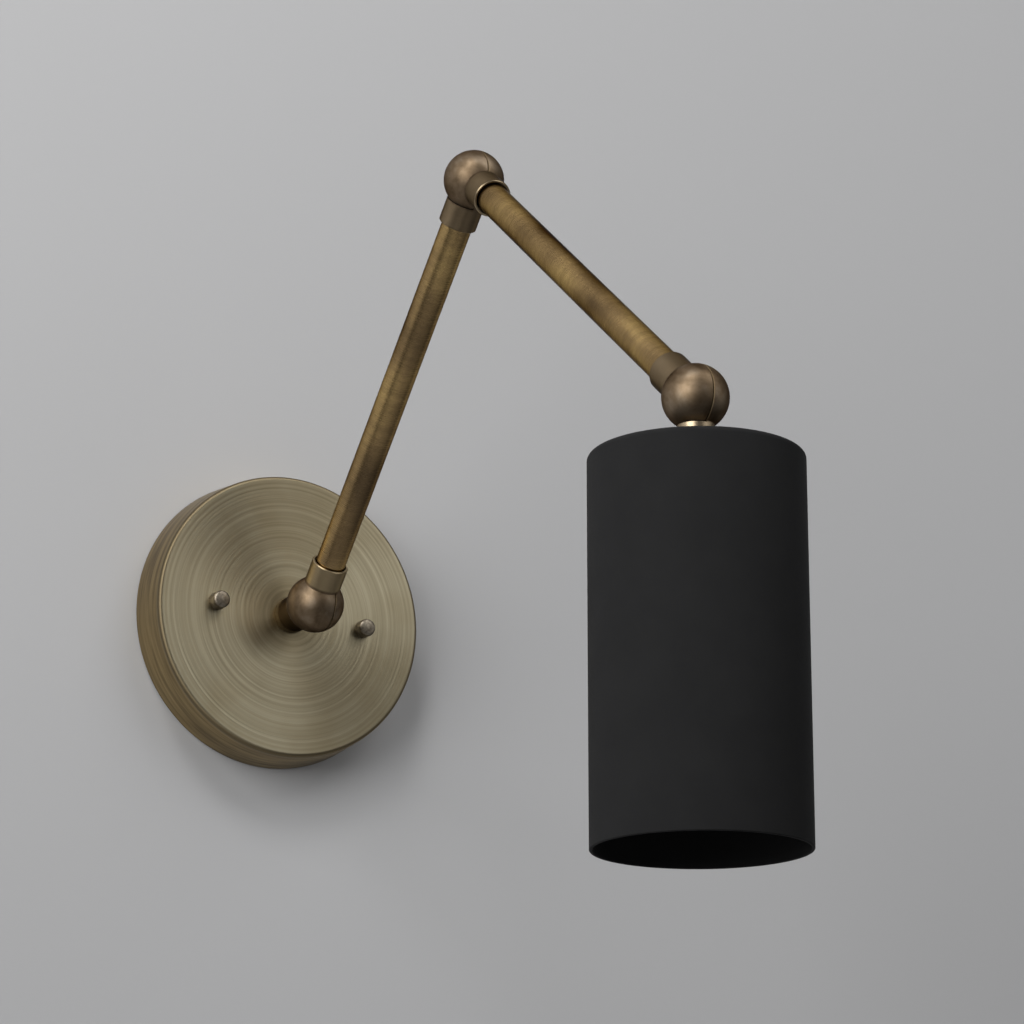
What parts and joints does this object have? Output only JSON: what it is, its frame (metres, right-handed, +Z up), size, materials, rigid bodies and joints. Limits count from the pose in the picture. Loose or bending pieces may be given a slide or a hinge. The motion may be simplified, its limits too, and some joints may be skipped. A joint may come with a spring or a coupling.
{
  "type": "articulating wall lamp",
  "caption": "Wall lamp with a round brass canopy, two arms on split ball swivels and a straight black cylindrical shade.",
  "frame": {"origin": "centre of the canopy's back plane on the wall, which is the centre of the outlet box screw pattern", "axes": "+Y into the wall along the canopy's axis, the lamp reaches out along -Y, +Z up, +X across; the ball swivels pivot about X"},
  "size_m": [0.127, 0.3854, 0.3112],
  "materials": {
    "turned_brass": "satin, turned in fine concentric grooves, antiqued",
    "arm_brass": "satin, brushed round, antiqued with brown patina",
    "ball_brass": "satin, antiqued with brown patina",
    "dark_bronze": "dark patina",
    "zinc_steel": "zinc plated",
    "ground_green": "green",
    "shade_black": "matte powder coat",
    "lead_insulation": "smooth",
    "fibre": "pressed fibre",
    "porcelain": "glazed",
    "socket_brass": "dark antique",
    "contact_brass": "plain"
  },
  "bodies": {
    "wall_plate": {"canopy": "turned_brass", "box_bar": "zinc_steel", "stud_bar": "zinc_steel", "bar_eyelet": "zinc_steel", "canopy_studs": "zinc_steel", "stud_lock_nuts": "zinc_steel", "canopy_cap_nuts": "dark_bronze", "ground_screw": "ground_green", "base_nipple": "zinc_steel", "base_lock_washer": "zinc_steel", "base_lock_nut": "zinc_steel", "base_seat_ring": "ball_brass", "base_leads": "lead_insulation", "base_ball_screw_half": "ball_brass"},
    "lower_arm": {"base_ball_thread_half": "ball_brass", "base_pivot_screw": "dark_bronze", "base_friction_washer": "fibre", "base_spring_washer": "zinc_steel", "lower_arm_tube": "arm_brass", "lower_arm_pipe": "zinc_steel", "lower_arm_leads": "lead_insulation", "elbow_ball_screw_half": "ball_brass"},
    "upper_arm": {"elbow_ball_thread_half": "ball_brass", "elbow_pivot_screw": "dark_bronze", "elbow_friction_washer": "fibre", "elbow_spring_washer": "zinc_steel", "upper_arm_tube": "arm_brass", "upper_arm_pipe": "zinc_steel", "upper_arm_leads": "lead_insulation", "head_ball_thread_half": "ball_brass", "head_pivot_screw": "dark_bronze", "head_friction_washer": "fibre", "head_spring_washer": "zinc_steel"},
    "lamp_head": {"head_ball_screw_half": "ball_brass", "shade_seat_washer": "ball_brass", "shade_nipple": "zinc_steel", "shade": "shade_black", "shade_lock_nut": "zinc_steel", "head_leads": "lead_insulation", "socket_cap": "socket_brass", "socket_set_screw": "zinc_steel", "socket_shell": "socket_brass", "socket_liner": "fibre", "socket_insulator": "porcelain", "screw_shell": "contact_brass", "centre_contact": "contact_brass", "terminal_screws": "zinc_steel"}
  },
  "joints": [
    {"name": "base_pivot", "type": "hinge", "parent": "wall_plate", "child": "lower_arm", "pos_m": [0, -0.0443, 0], "axis": [-1, 0, 0], "range_deg": [-60, 40]},
    {"name": "elbow_pivot", "type": "hinge", "parent": "lower_arm", "child": "upper_arm", "pos_m": [0, -0.18306, 0.14643], "axis": [1, 0, 0], "range_deg": [-150, 9]},
    {"name": "head_pivot", "type": "hinge", "parent": "upper_arm", "child": "lamp_head", "pos_m": [0, -0.34655, 0.01021], "axis": [-1, 0, 0], "range_deg": [-44, 144]}
  ]
}
